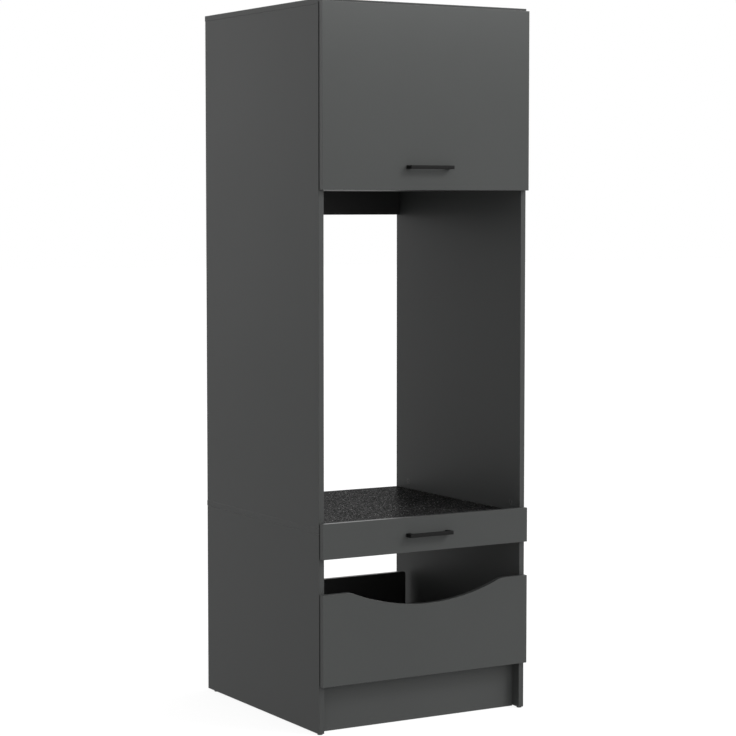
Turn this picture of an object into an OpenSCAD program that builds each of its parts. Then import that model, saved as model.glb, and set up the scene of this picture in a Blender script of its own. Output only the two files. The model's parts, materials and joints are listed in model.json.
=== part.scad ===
/* [Carcass] */
// Width over the two side panels
carcass_w = 675; // [560:1:800]
// Height of the carcass, without the glides
carcass_h = 2000; // [1800:1:2200]
// Depth of the side panels, without the fronts
side_depth = 682; // [640:1:760]
// Thickness of the carcass boards
board_t = 16; // [15:0.5:19]
// How far the top and platform boards stand out behind the sides
rear_lip = 2; // [0:0.5:5]
// Height from the floor to the top of the platform board
platform_z = 570; // [540:1:640]
// Height from the floor to the underside of the upper compartment
compartment_z = 1490; // [1440:1:1540]
// Height from the floor to the underside of the base floor
base_floor_z = 137; // [100:1:150]
// Height of the rear rail above the appliance niche
rear_rail_h = 71; // [60:1:110]
// Height of the rear rail under the platform
base_rail_h = 100; // [60:1:120]
// Thickness of the hardboard back of the compartment
back_t = 3; // [3:0.5:4]
// Depth of the grooves that hold the hardboard back
groove_depth = 7; // [5:0.5:8]
// Distance from the rear edge of a side to the hardboard back
groove_inset = 12; // [10:1:18]

/* [Floor contact] */
// How far the plinth panel is set back from the carcass front
plinth_setback = 33; // [20:1:60]
// Clearance between the plinth panel and the floor
plinth_clear = 1; // [0.5:0.5:3]
// Height of the glides under the side panels
glide_h = 3; // [2:0.5:6]
// Diameter of a glide's pad
glide_d = 15; // [12:0.5:15]
// Distance from the carcass front to the front glides
glide_front = 10; // [9:1:60]
// Distance from the rear edge of a side to the rear glides
glide_rear = 41; // [20:1:80]

/* [Fronts] */
// Thickness of the fronts
front_t = 16; // [16:0.5:19]
// Air gap between the carcass and the back of the fronts
front_gap = 2; // [1.5:0.5:3]
// How far each front stops short of the carcass side
side_reveal = 1.8; // [1:0.1:4]
// How far the top edge of the flap lies below the top of the cabinet
flap_top_drop = 8; // [5:0.5:12]
// Height of the fascia of the pull-out board
fascia_h = 98; // [90:1:120]
// How far the fascia rises above the platform board
fascia_rise = 14; // [8:1:24]
// Height of the drawer front at its shoulders
drawer_front_h = 254; // [230:1:280]
// How far the drawer front covers the edge of the base floor
drawer_front_cover = 2; // [0:0.5:10]
// Depth of the dip in the drawer front
dip_depth = 51; // [20:1:80]
// Half of the width of the dip
dip_half_w = 262; // [200:1:262]
// Radius of the two shoulders of the dip
shoulder_r = 80; // [40:1:120]

/* [Bar handles] */
// Height of a handle's bar
handle_bar_h = 10; // [8:0.5:14]
// Depth of a handle's bar, front to back
handle_bar_t = 9; // [6:0.5:12]
// How far a handle stands out from its front
handle_out = 25; // [22:1:40]
// Width of a handle's foot
handle_foot_w = 13; // [10:0.5:16]
// Distance between the two screws of a handle
handle_pitch = 128; // [96:32:192]
// Height of the flap handle above the bottom edge of the flap
flap_handle_up = 63; // [40:1:100]
// Diameter of the handle screws
handle_screw_d = 4; // [3:0.5:5]
// Radius of the handle's corners
handle_corner_r = 1.5; // [0.5:0.5:3]

/* [Flap hinges] */
// Distance from the end of the flap to the centre of a hinge
hinge_end = 100; // [70:1:150]
// Distance from the front face of the flap to the hinge pin
pin_in = 6.5; // [6:0.1:7]
// Distance from the top edge of the flap to the hinge pin
pin_drop = 5.5; // [5:0.1:6]
// Diameter of the hinge pin
hinge_pin_d = 3; // [2.5:0.5:3.5]
// Diameter of the hinge cup
cup_d = 35; // [35:0.5:36]
// Distance from the hinge pin down to the centre of the cup
cup_drop = 14; // [13.6:0.1:14.2]
// Width of the hinge arm
arm_w = 10; // [8:0.5:11]
// Length of the hinge arm behind the carcass front
arm_len = 60; // [52:1:90]
// Thickness of the plate between the hinge arm and the top board
hinge_plate_t = 5; // [4:0.5:6]

/* [Gas struts] */
// Distance from the side panel to the axis of a strut
strut_off = 19; // [17:0.5:26]
// Distance from the carcass front to the fixed pivot of a strut
strut_side_y = 170; // [150:1:220]
// Distance from the top board down to the fixed pivot of a strut
strut_side_drop = 32; // [26:1:60]
// Distance from the back of the flap to the moving pivot of a strut
strut_flap_off = 16; // [15:0.5:20]
// Distance from the hinge pin down to the moving pivot of a strut
strut_flap_drop = 62; // [56:1:80]
// Outer diameter of the strut tube
strut_tube_d = 15; // [12:0.5:18]
// Diameter of the strut rod
strut_rod_d = 6; // [5:0.5:8]
// Diameter of the pivot studs of the struts
stud_d = 6; // [5:0.5:8]

/* [Pull-out board] */
// Distance from the platform board down to the middle of the runner
pull_drop = 40; // [34:1:44]
// Length of the telescopic runners
pull_runner_len = 550; // [500:10:600]
// Height of the telescopic runners
pull_runner_h = 35; // [34:1:45]
// Room for a runner between the side panel and the board
runner_gap = 12.7; // [12.7:0.1:13.5]
// Thickness of the runners' steel
steel_t = 1.2; // [1:0.1:1.5]
// Diameter of the balls of the telescopic runners
ball_d = 2.6; // [2.2:0.1:3]
// Number of balls in one row of a cage
ball_count = 6; // [4:1:8]

/* [Laundry drawer] */
// Clearance between the base floor and the runner of the drawer
drawer_floor_clear = 5; // [3:0.5:10]
// Length of the drawer box from the back of the front to its rear face
drawer_box_len = 620; // [560:1:620]
// Height of the low steel sides of the drawer
drawer_side_h = 50; // [46:1:54]
// Height of the drawer's rear board above the bottom board
drawer_back_h = 137; // [100:1:160]
// Gap between each end of the rear board and the steel side
drawer_back_end = 2.8; // [1:0.1:5]
// Radius of the upper corners of the rear board
drawer_back_r = 8; // [4:1:20]
// Height of the runner's channel
channel_h = 27.4; // [27:0.2:30]
// Diameter of the runner's rollers
roller_d = 24; // [20:0.5:24]
// Width of a roller
roller_w = 7; // [5:0.5:7.5]
// Diameter of a roller's axle
axle_d = 5; // [4:0.5:6]

/* [Compartment shelf] */
// Distance from the top board down to the shelf
shelf_drop = 243; // [179:32:275]
// How far the shelf stays behind the carcass front
shelf_setback = 30; // [20:1:80]
// Gap between each end of the shelf and the side panel
shelf_end_clear = 1; // [0.5:0.5:2]
// Diameter of the shelf pins
shelf_pin_d = 5; // [4:0.5:6]
// Distance between the shelf pin holes
pin_hole_pitch = 32; // [25:1:64]

/* [Board joints] */
// Diameter of a cam disc
cam_d = 15; // [12:0.5:16]
// Distance from the board's end to the centre of a cam disc
cam_back = 24; // [22:1:34]
// Depth of a cam disc in its board
cam_depth = 12; // [10:0.5:12.5]
// Diameter of a dowel
dowel_d = 8; // [6:1:8]
// Length of a dowel
dowel_len = 30; // [25:1:30]
// Distance from a cam bolt to the dowel beside it
dowel_step = 32; // [24:1:40]

/* [Clearances] */
// Radial clearance of a turning pin or axle
pin_fit = 0.05; // [0.02:0.01:0.1]
// Clearance between parts that slide or pass each other
run_fit = 0.3; // [0.2:0.1:0.5]

/* [Hidden] */
$fn = 48;

// Colours of the materials
graphite = [0.31, 0.32, 0.31];
granite = [0.24, 0.24, 0.24];
black = [0.05, 0.05, 0.05];
steel = [0.72, 0.73, 0.75];
zinc = [0.62, 0.63, 0.65];
beech = [0.72, 0.55, 0.36];
nylon = [0.92, 0.92, 0.9];
clear_pad = [0.8, 0.82, 0.84];

// Levels of the carcass
inner_x = carcass_w / 2 - board_t;
side_mid_x = inner_x + board_t / 2;
top_z = glide_h + carcass_h;
top_under = top_z - board_t;
platform_under = platform_z - board_t;
compartment_top = compartment_z + board_t;
shelf_z = top_under - shelf_drop - board_t;
base_floor_top = base_floor_z + board_t;
back_front_y = side_depth - groove_inset - back_t;

// Faces of the fronts, with the carcass front at zero
front_back_y = -front_gap;
front_face_y = -front_gap - front_t;
front_w = carcass_w - 2 * side_reveal;
flap_top = top_z - flap_top_drop;
fascia_top = platform_z + fascia_rise;
fascia_low = fascia_top - fascia_h;
fascia_mid = fascia_low + fascia_h / 2;
drawer_front_low = base_floor_z - drawer_front_cover;
handle_len = handle_pitch + handle_foot_w;

// Moves the carcass so that the whole cabinet is centred front to back
centre_shift = (handle_out - front_face_y - side_depth - rear_lip) / 2;

// Flap hinges, in the plane across the hinge pin
hinge_x = front_w / 2 - hinge_end;
pin_y = front_face_y + pin_in;
pin_z = flap_top - pin_drop;
cup_z = pin_z - cup_drop;
eye_wall = 1.7;
eye_r = hinge_pin_d / 2 + eye_wall;
cup_h = front_t - 3;
cup_fit = 0.1;
cup_flange_t = 1.2;
cup_rim = 1.5;
cup_screw_x = 24;
cup_ear = 8;
cup_ear_r = 6;
arm_h = 9;
arm_top = top_under - hinge_plate_t;
arm_wall = 1.4;
slot_fit = 0.6;
slot_half = arm_w / 2 + slot_fit;
slot_below_cup = 4.5;
cup_pin_half = sqrt(pow(cup_d / 2 - cup_fit, 2) - pow(cup_drop + hinge_pin_d / 2, 2)) - cup_fit;
arm_web_t = 2;
plate_half = 21;
plate_wing = 8;
plate_corner_r = 4;
plate_low_y = 20;
plate_high_y = 56;
plate_screw_x = 15;
plate_screw_y = 36;
arm_screw_y = 48;

// Gas struts, in the plane of their two pivots
flap_open = 100;
strut_x = inner_x - strut_off;
strut_side_z = top_under - strut_side_drop;
strut_flap_y = front_back_y + strut_flap_off;
strut_flap_z = pin_z - strut_flap_drop;
strut_dy = strut_flap_y - strut_side_y;
strut_dz = strut_flap_z - strut_side_z;
strut_len = norm([strut_dy, strut_dz]);
strut_angle = atan2(strut_dz, strut_dy);
pivot_dy = strut_flap_y - pin_y;
open_y = pin_y + pivot_dy * cos(flap_open) - strut_flap_drop * sin(flap_open);
open_z = pin_z - pivot_dy * sin(flap_open) - strut_flap_drop * cos(flap_open);
strut_stroke = norm([open_y - strut_side_y, open_z - strut_side_z]) - strut_len;
eye_w = 8;
eye_d = stud_d + 5;
neck_d = eye_w - 1;
tube_start = 10;
rod_neck = 12;
rod_end_len = rod_neck + 2;
gland_len = 8;
piston_h = 6;
tube_wall = 1.2;
tube_end = strut_len - rod_end_len;
piston_z = tube_end - gland_len - strut_stroke - piston_h - 1;
bracket_t = 2;
bracket_w = 20;
bracket_h = 38;
bracket_screw_z = 13;
stud_head_t = 1;
stud_head_d = stud_d + 3;
stud_collar_d = stud_d + 4;
stud_end_x = strut_x - eye_w / 2 - run_fit;
flap_web_x = stud_end_x - 6.2;
tube_wall_end = tube_start + 4;
web_d = 14;

// Telescopic runners of the pull-out board
runner_front_y = 4;
pull_z = platform_under - pull_drop;
pull_board_low = pull_z - board_t / 2;
slide_x = inner_x - runner_gap;
stage_gap = ball_d + 0.2;
middle_h = pull_runner_h - 2 * (steel_t + stage_gap);
inner_h = middle_h - 2 * (steel_t + stage_gap);
runner_end_y = runner_front_y + pull_runner_len;
middle_out_x = inner_x - steel_t - 2.5;
middle_in_x = slide_x + steel_t + 1.9;
inner_out_x = middle_out_x - steel_t - 1.1;
outer_in_x = middle_in_x - 0.4;
cage_len = 200;
cage_t = 0.8;
cage_w = 5;
outer_cage_x = middle_out_x - 3.3;
inner_cage_x = inner_out_x - 2;
outer_cage_y = 230;
inner_cage_y = 60;
cage_end = 10;
angle_x = 200;
angle_w = 30;
angle_t = 2;
angle_deep = 30;
angle_drop = 18;
angle_screw = 10;
runner_screw_y = [37, 261, 485];

// Channels, rollers and steel sides of the laundry drawer
drawer_end_y = front_back_y + drawer_box_len;
rear_roller_in_y = 18;
channel_low = base_floor_top + drawer_floor_clear;
channel_top = channel_low + channel_h;
channel_mid = channel_low + channel_h / 2;
channel_flange_w = 8;
channel_lip_gap = 0.6;
flange_z = channel_top + channel_lip_gap + run_fit;
flange_side_gap = 2;
roller_room = 4;
front_roller_y = 20;
front_roller_z = flange_z - run_fit - roller_d / 2;
rear_roller_y = drawer_end_y - rear_roller_in_y;
rear_roller_z = channel_low + steel_t + run_fit + roller_d / 2;
channel_end = rear_roller_y + roller_d / 2 + roller_room;
channel_screw_front = 70;
channel_screw_rear = channel_end - 56;
channel_screw_y = [channel_screw_front, (channel_screw_front + channel_screw_rear) / 2, channel_screw_rear];
front_roller_x = inner_x - steel_t - 1.3 - roller_w;
rear_roller_x = slide_x + steel_t + 1;
rear_axle_end = rear_roller_x + roller_w + run_fit;
axle_head_d = 8;
axle_head_t = 0.7;
drawer_low = channel_low + 1;
drawer_board_low = drawer_low + steel_t;
drawer_board_top = drawer_board_low + board_t;
tab_w = 15;
tab_low = drawer_board_top + 3;
tab_high = drawer_low + drawer_side_h - 2;
tab_screw_in = 6;
bottom_screw_in = 60;
hem_w = 3;

// Screws
wood_screw_d = 4;
wood_screw_len = 13;
flat_head_d = 6.4;
flat_head_h = 1.2;
arm_screw_len = 6;
handle_screw_len = front_t + 10;
pan_head_d = 7.5;
pan_head_h = 2;
hole_fit = 0.05;

// Rows of board joints
joint_rows = [45, side_depth - 70];
lower_joint_rows = [140, side_depth - 170];
bolt_d = 6;
thread_d = 5;
thread_len = 10.5;
bolt_len = 19;
dowel_in_face = 11;
pocket_fit = 0.1;
bolt_room = 1;
face_hole_room = 0.3;
dowel_hole_room = 0.5;
shelf_pin_rows = [shelf_setback + 37, back_front_y - 60];
pin_block = 9;
pin_hole_deep = 9;
pin_in_side = 8.5;
pin_hole_steps = 3;

module in_cabinet() translate([0, centre_shift, 0]) children();

module both_sides() {
    children();
    mirror([1, 0, 0]) children();
}

module along_y(from, to) translate([0, to, 0]) rotate([90, 0, 0]) linear_extrude(to - from) children();

module along_x(from, to) translate([from, 0, 0]) rotate([90, 0, 90]) linear_extrude(to - from) children();

module box(low, high) translate(low) cube(high - low);

// Rectangle from one corner to the other
module rect(low, high) translate(low) square(high - low);

// Cylinder along X between two places
module pin_x(from, to, d, y, z) translate([from, y, z]) rotate([0, 90, 0]) cylinder(d = d, h = to - from);

// A screw whose head stands above the origin and whose shank goes down
module screw(d, len, head_d, head_h) {
    cylinder(d = head_d, h = head_h);
    shank(d, len, 0);
}

// A shank with a pointed end, from one level down to a depth
module shank(d, len, from) {
    translate([0, 0, d - len]) cylinder(d = d, h = len - d + from);
    translate([0, 0, -len]) cylinder(d1 = 1, d2 = d, h = d);
}

module screw_hole(d, len) translate([0, 0, -len - 0.3]) cylinder(d = d + 2 * hole_fit, h = len + 1);

// Board joints. Local Z runs from the board with the cam into the other board
module joint_frames(places, turn) both_sides() for (p = places) translate(p) rotate(turn) children();

module top_joints()
    joint_frames([for (y = joint_rows) [side_mid_x, y, top_under]], [0, 0, 90]) children();

module upper_side_joints()
    joint_frames([for (y = joint_rows) [side_mid_x, y, platform_z]], [180, 0, -90]) children();

module lower_side_joints()
    joint_frames([for (y = lower_joint_rows) [side_mid_x, y, platform_under]], [0, 0, 90]) children();

module compartment_joints()
    joint_frames([for (y = joint_rows) [inner_x, y, compartment_z + board_t / 2]], [-90, 0, -90])
        children();

module base_floor_joints()
    joint_frames([for (y = joint_rows) [inner_x, y, base_floor_z + board_t / 2]], [-90, 0, -90]) children();

module rear_rail_joints()
    joint_frames([[inner_x, side_depth - board_t / 2, compartment_z - rear_rail_h / 2 + dowel_step / 2]],
        [0, 90, 0]) children();

module base_rail_joints()
    joint_frames([[inner_x, side_depth - board_t / 2, platform_under - base_rail_h / 2 + dowel_step / 2]],
        [0, 90, 0]) children();

module plinth_joints()
    joint_frames([[inner_x, plinth_setback + board_t / 2, (base_floor_z + dowel_step) / 2]],
        [0, 90, 0]) children();

module all_joints() {
    top_joints() children();
    upper_side_joints() children();
    lower_side_joints() children();
    compartment_joints() children();
    base_floor_joints() children();
    rear_rail_joints() children();
    base_rail_joints() children();
    plinth_joints() children();
}

// Cam pocket, bolt channel and dowel hole in the end of a board
module cam_end_cut() {
    translate([0, board_t / 2 - cam_depth - pocket_fit, -cam_back]) rotate([-90, 0, 0])
        cylinder(d = cam_d + 2 * pocket_fit, h = cam_depth + 1);
    translate([0, 0, -cam_back]) cylinder(d = bolt_d + bolt_room, h = cam_back + 1);
    translate([dowel_step, 0, dowel_in_face - dowel_len - dowel_hole_room])
        cylinder(d = dowel_d + 2 * hole_fit, h = dowel_len);
}

// Bolt hole and dowel hole in the face of the other board
module bolt_face_cut() {
    translate([0, 0, -1]) cylinder(d = thread_d + 2 * hole_fit, h = thread_len + 1 + face_hole_room);
    translate([dowel_step, 0, -1])
        cylinder(d = dowel_d + 2 * hole_fit, h = dowel_in_face + 1 + face_hole_room);
}

module cam_disc() {
    slot_w = 1.6;
    difference() {
        translate([0, board_t / 2 - cam_depth, -cam_back]) rotate([-90, 0, 0])
            cylinder(d = cam_d, h = cam_depth);
        translate([0, 0, -cam_back]) cylinder(d = bolt_d + 1.2, h = cam_d);
        for (turn = [0, 90])
            translate([0, board_t / 2, -cam_back]) rotate([0, turn, 0])
                cube([cam_d * 0.6, 3, slot_w], center = true);
    }
}

module cam_bolt() {
    translate([0, 0, -bolt_len]) cylinder(d = bolt_d, h = bolt_len);
    cylinder(d = thread_d, h = thread_len);
}

module dowel() translate([dowel_step, 0, dowel_in_face - dowel_len]) cylinder(d = dowel_d, h = dowel_len);

// Screw frames. Local Z points out of the face that carries the head
module from_behind(p) translate(p) rotate([-90, 0, 0]) children();

module from_inside(p) translate(p) rotate([0, -90, 0]) children();

module from_below(p) translate(p) rotate([180, 0, 0]) children();

module wood_screw() screw(wood_screw_d, wood_screw_len, pan_head_d, pan_head_h);

module wood_hole() screw_hole(wood_screw_d, wood_screw_len);

// A screw with a countersunk head, flush with the face
module flat_screw() {
    translate([0, 0, -flat_head_h]) cylinder(d1 = wood_screw_d, d2 = flat_head_d, h = flat_head_h);
    shank(wood_screw_d, wood_screw_len, -flat_head_h);
}

module flat_hole() {
    wood_hole();
    translate([0, 0, -flat_head_h])
        cylinder(d1 = wood_screw_d + 2 * hole_fit, d2 = flat_head_d + 2 * hole_fit, h = flat_head_h);
    cylinder(d = flat_head_d + 2 * hole_fit, h = 1);
}

module hinges() both_sides() translate([hinge_x, 0, 0]) children();

module plate_screw_places()
    hinges() for (x = [-plate_screw_x, plate_screw_x]) from_below([x, plate_screw_y, arm_top]) children();

module cup_screw_places()
    hinges() for (x = [-cup_screw_x, cup_screw_x])
        from_behind([x, front_back_y + cup_flange_t, cup_z]) children();

wall_bracket_x = 220;
wall_leg = 30;
wall_bracket_w = 20;
wall_screw_in = 18;
wall_hole_d = 5.5;
wall_hole_room = 2.5;

module wall_screw_places()
    both_sides() from_below([wall_bracket_x, back_front_y - wall_screw_in, top_under - bracket_t])
        children();

module strut_side_places()
    both_sides() for (z = [-bracket_screw_z, bracket_screw_z])
        from_inside([inner_x - bracket_t, strut_side_y, strut_side_z + z]) children();

module strut_flap_places()
    both_sides() for (z = [-bracket_screw_z, bracket_screw_z])
        from_behind([flap_web_x - bracket_w / 2, front_back_y + bracket_t, strut_flap_z + z]) children();

module runner_screw_places()
    both_sides() for (y = runner_screw_y) from_inside([inner_x - steel_t, y, pull_z]) children();

module channel_screw_places()
    both_sides() for (y = channel_screw_y) from_inside([inner_x - steel_t, y, channel_mid]) children();

// Heads towards the side panel, shanks into the edge of the pull-out board
module slide_screw_places()
    both_sides() for (y = runner_screw_y)
        translate([slide_x + steel_t, y, pull_z]) rotate([0, 90, 0]) children();

module angle_screw_places() both_sides() {
    from_behind([angle_x, front_back_y + angle_t, pull_board_low - angle_screw]) children();
    from_below([angle_x, front_back_y + angle_deep - angle_screw, pull_board_low - angle_t]) children();
}

module handle_screw_places(z)
    for (x = [-handle_pitch / 2, handle_pitch / 2]) from_behind([x, front_back_y, z]) children();

module drawer_screw_places() both_sides() {
    for (z = [tab_low + tab_screw_in, tab_high - tab_screw_in]) {
        from_behind([slide_x - tab_w / 2, front_back_y + steel_t, z]) children();
        from_behind([slide_x - tab_w / 2, drawer_end_y + steel_t, z]) children();
    }
    for (y = [bottom_screw_in, drawer_end_y - bottom_screw_in])
        from_below([slide_x - tab_w / 2, y, drawer_low]) children();
}

module shelf_pin_holes()
    both_sides() for (y = shelf_pin_rows, step = [-pin_hole_steps : pin_hole_steps])
        pin_x(inner_x - 1, inner_x + pin_hole_deep, shelf_pin_d + 2 * hole_fit, y,
            shelf_z - shelf_pin_d / 2 + step * pin_hole_pitch);

module glide_places()
    both_sides() for (y = [glide_front, side_depth - glide_rear]) translate([side_mid_x, y, 0]) children();

// Groove for the hardboard back, between two levels
module back_groove(low, high)
    box([-inner_x - groove_depth, back_front_y - run_fit / 2, low],
        [inner_x + groove_depth, back_front_y + back_t + run_fit / 2, high]);

// Rectangle with round corners
module rounded(low, high, r) {
    rect(low + [r, 0], high - [r, 0]);
    rect(low + [0, r], high - [0, r]);
    for (x = [low.x + r, high.x - r], y = [low.y + r, high.y - r]) translate([x, y]) circle(r = r);
}

// Carcass
module top_board() color(graphite) in_cabinet() difference() {
    box([-carcass_w / 2, 0, top_under], [carcass_w / 2, side_depth + rear_lip, top_z]);
    back_groove(top_under - 1, top_under + groove_depth);
    top_joints() bolt_face_cut();
    plate_screw_places() wood_hole();
    wall_screw_places() wood_hole();
}

module upper_side() difference() {
    box([inner_x, 0, platform_z], [carcass_w / 2, side_depth, top_under]);
    back_groove(compartment_top - groove_depth, top_z);
    top_joints() cam_end_cut();
    upper_side_joints() cam_end_cut();
    compartment_joints() bolt_face_cut();
    rear_rail_joints() bolt_face_cut();
    shelf_pin_holes();
    strut_side_places() wood_hole();
}

module upper_side_right() color(graphite) in_cabinet() upper_side();

module upper_side_left() color(graphite) in_cabinet() mirror([1, 0, 0]) upper_side();

module lower_side() difference() {
    box([inner_x, 0, glide_h], [carcass_w / 2, side_depth, platform_under]);
    lower_side_joints() cam_end_cut();
    base_floor_joints() bolt_face_cut();
    base_rail_joints() bolt_face_cut();
    plinth_joints() bolt_face_cut();
    runner_screw_places() wood_hole();
    channel_screw_places() wood_hole();
    glide_places() cylinder(d = glide_pin_d + 2 * hole_fit, h = glide_pin_top + run_fit);
}

module lower_side_right() color(graphite) in_cabinet() lower_side();

module lower_side_left() color(graphite) in_cabinet() mirror([1, 0, 0]) lower_side();

module platform_board() color(granite) in_cabinet() difference() {
    box([-carcass_w / 2, 0, platform_under], [carcass_w / 2, side_depth + rear_lip, platform_z]);
    upper_side_joints() bolt_face_cut();
    lower_side_joints() bolt_face_cut();
}

module compartment_floor() color(graphite) in_cabinet() difference() {
    box([-inner_x, 0, compartment_z], [inner_x, side_depth, compartment_top]);
    back_groove(compartment_top - groove_depth, compartment_top + 1);
    compartment_joints() cam_end_cut();
}

module compartment_back() color(graphite) in_cabinet() difference() {
    box([run_fit - inner_x - groove_depth, back_front_y, compartment_top - groove_depth + run_fit],
        [inner_x + groove_depth - run_fit, back_front_y + back_t, top_under + groove_depth - run_fit]);
    both_sides() translate([wall_bracket_x, 0, top_under - wall_screw_in])
        along_y(back_front_y - 1, back_front_y + back_t + 1) circle(d = wall_hole_d + wall_hole_room);
}

module compartment_shelf() color(graphite) in_cabinet()
    box([shelf_end_clear - inner_x, shelf_setback, shelf_z],
        [inner_x - shelf_end_clear, back_front_y - 5, shelf_z + board_t]);

module shelf_pins() color(zinc) in_cabinet() both_sides() for (y = shelf_pin_rows) {
    pin_x(inner_x - 1, inner_x + pin_in_side, shelf_pin_d, y, shelf_z - shelf_pin_d / 2);
    box([inner_x - pin_block, y - shelf_pin_d / 2, shelf_z - shelf_pin_d],
        [inner_x, y + shelf_pin_d / 2, shelf_z]);
}

module rear_rail() color(black) in_cabinet() difference() {
    box([-inner_x, side_depth - board_t, compartment_z - rear_rail_h],
        [inner_x, side_depth, compartment_z]);
    rear_rail_joints() cam_end_cut();
}

module base_rail() color(graphite) in_cabinet() difference() {
    box([-inner_x, side_depth - board_t, platform_under - base_rail_h],
        [inner_x, side_depth, platform_under]);
    base_rail_joints() cam_end_cut();
}

module base_floor() color(graphite) in_cabinet() difference() {
    box([-inner_x, 0, base_floor_z], [inner_x, side_depth, base_floor_top]);
    base_floor_joints() cam_end_cut();
}

module plinth_panel() color(graphite) in_cabinet() difference() {
    box([-inner_x, plinth_setback, plinth_clear], [inner_x, plinth_setback + board_t, base_floor_z]);
    plinth_joints() cam_end_cut();
}

glide_pin_d = 4;
glide_pin_top = 15;
glide_round = 1;

module glides() color(black) in_cabinet() glide_places() rotate_extrude() {
    rect([0, 0], [glide_d / 2 - glide_round, glide_h]);
    rect([0, glide_round], [glide_d / 2, glide_h]);
    intersection() {
        translate([glide_d / 2 - glide_round, glide_round]) circle(r = glide_round);
        rect([0, 0], [glide_d / 2, glide_round]);
    }
    rect([0, 0], [glide_pin_d / 2, glide_pin_top]);
}

module cam_discs() color(zinc) in_cabinet() all_joints() cam_disc();

module cam_bolts() color(steel) in_cabinet() all_joints() cam_bolt();

module dowels() color(beech) in_cabinet() all_joints() dowel();

module wall_brackets() color(zinc) in_cabinet() both_sides() difference() {
    along_x(wall_bracket_x - wall_bracket_w / 2, wall_bracket_x + wall_bracket_w / 2) {
        rect([back_front_y - wall_leg, top_under - bracket_t], [back_front_y, top_under]);
        rect([back_front_y - bracket_t, top_under - wall_leg], [back_front_y, top_under]);
    }
    translate([wall_bracket_x, 0, top_under - wall_screw_in])
        along_y(back_front_y - wall_leg / 2, back_front_y + 1) circle(d = wall_hole_d);
    wall_screw_places() wood_hole();
}

module wall_bracket_screws() color(steel) in_cabinet() wall_screw_places() wood_screw();

// Lift-up flap: fixed arms, cups in the flap and the pins that join them
module hinge_arms() color(steel) in_cabinet() hinges() difference() {
    along_x(-arm_w / 2, arm_w / 2) {
        translate([pin_y, pin_z]) circle(r = eye_r);
        polygon([
            [pin_y - 1, pin_z + 3], [pin_y + 2.5, pin_z + 2.5], [-1.5, top_under - 1.5],
            [4, arm_top], [arm_len, arm_top], [arm_len, arm_top - arm_h], [2, arm_top - arm_h],
            [pin_y + 3.5, pin_z - 5.5], [pin_y - 2.5, pin_z - 2]
        ]);
    }
    pin_x(-arm_w, arm_w, hinge_pin_d + 2 * pin_fit, pin_y, pin_z);
    box([arm_wall - arm_w / 2, 8, arm_top - arm_h - 1],
        [arm_w / 2 - arm_wall, arm_len - 1, arm_top - arm_web_t]);
    from_below([0, arm_screw_y, arm_top - arm_web_t]) screw_hole(wood_screw_d, arm_screw_len);
}

module hinge_plates() color(steel) in_cabinet() hinges() difference() {
    union() {
        box([-arm_w, plate_low_y, arm_top], [arm_w, plate_high_y, top_under]);
        translate([0, 0, arm_top]) linear_extrude(hinge_plate_t)
            rounded([-plate_half, plate_screw_y - plate_wing],
                [plate_half, plate_screw_y + plate_wing], plate_corner_r);
    }
    for (x = [-plate_screw_x, plate_screw_x]) from_below([x, plate_screw_y, arm_top]) wood_hole();
    from_below([0, arm_screw_y, arm_top - arm_web_t]) screw_hole(wood_screw_d, arm_screw_len);
}

module hinge_plate_screws() color(steel) in_cabinet() {
    plate_screw_places() wood_screw();
    hinges() from_below([0, arm_screw_y, arm_top - arm_web_t])
        screw(wood_screw_d, arm_screw_len, flat_head_d, pan_head_h);
}

module hinge_slot()
    box([-slot_half, front_back_y - cup_h, cup_z - slot_below_cup], [slot_half, 0, flap_top + 1]);

module hinge_cups() color(steel) in_cabinet() hinges() difference() {
    union() {
        translate([0, 0, cup_z]) along_y(front_back_y - cup_h + cup_fit, front_back_y)
            circle(d = cup_d - 2 * cup_fit);
        intersection() {
            translate([0, 0, cup_z]) along_y(front_back_y, front_back_y + cup_flange_t) {
                circle(d = cup_d + 2 * cup_rim);
                rounded([-cup_screw_x - cup_ear, -cup_ear], [cup_screw_x + cup_ear, cup_ear], cup_ear_r);
            }
            box([-cup_d, front_back_y, cup_z - cup_d], [cup_d, 0, pin_z + 2]);
        }
    }
    hinge_slot();
    pin_x(-cup_d, cup_d, hinge_pin_d + 2 * hole_fit, pin_y, pin_z);
    for (x = [-cup_screw_x, cup_screw_x]) from_behind([x, front_back_y + cup_flange_t, cup_z]) wood_hole();
}

module hinge_pins() color(zinc) in_cabinet()
    hinges() pin_x(-cup_pin_half, cup_pin_half, hinge_pin_d, pin_y, pin_z);

module hinge_cup_screws() color(steel) in_cabinet() cup_screw_places() wood_screw();

module flap_front() color(graphite) in_cabinet() difference() {
    box([-front_w / 2, front_face_y, compartment_z], [front_w / 2, front_back_y, flap_top]);
    hinges() {
        translate([0, 0, cup_z]) along_y(front_back_y - cup_h, front_back_y + 1) circle(d = cup_d);
        hinge_slot();
    }
    cup_screw_places() wood_hole();
    strut_flap_places() wood_hole();
    handle_screw_places(compartment_z + flap_handle_up) screw_hole(handle_screw_d, handle_screw_len);
}

// Bow handle, with the front's face at zero
module handle(z) translate([0, front_face_y, z - handle_bar_h / 2]) difference() {
    linear_extrude(handle_bar_h) difference() {
        union() {
            rounded([-handle_len / 2, -handle_out], [handle_len / 2, 0], handle_corner_r);
            rect([-handle_len / 2, -handle_out / 2], [handle_len / 2, 0]);
        }
        rounded([handle_foot_w - handle_len / 2, handle_bar_t - handle_out],
            [handle_len / 2 - handle_foot_w, handle_out], handle_inner_r);
    }
    translate([0, -front_face_y, handle_bar_h / 2])
        handle_screw_places(0) screw_hole(handle_screw_d, handle_screw_len);
}

handle_inner_r = 5;

module flap_handle() color(black) in_cabinet() handle(compartment_z + flap_handle_up);

module pullout_handle() color(black) in_cabinet() handle(fascia_mid);

module handle_screw() screw(handle_screw_d, handle_screw_len, pan_head_d, pan_head_h);

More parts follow.
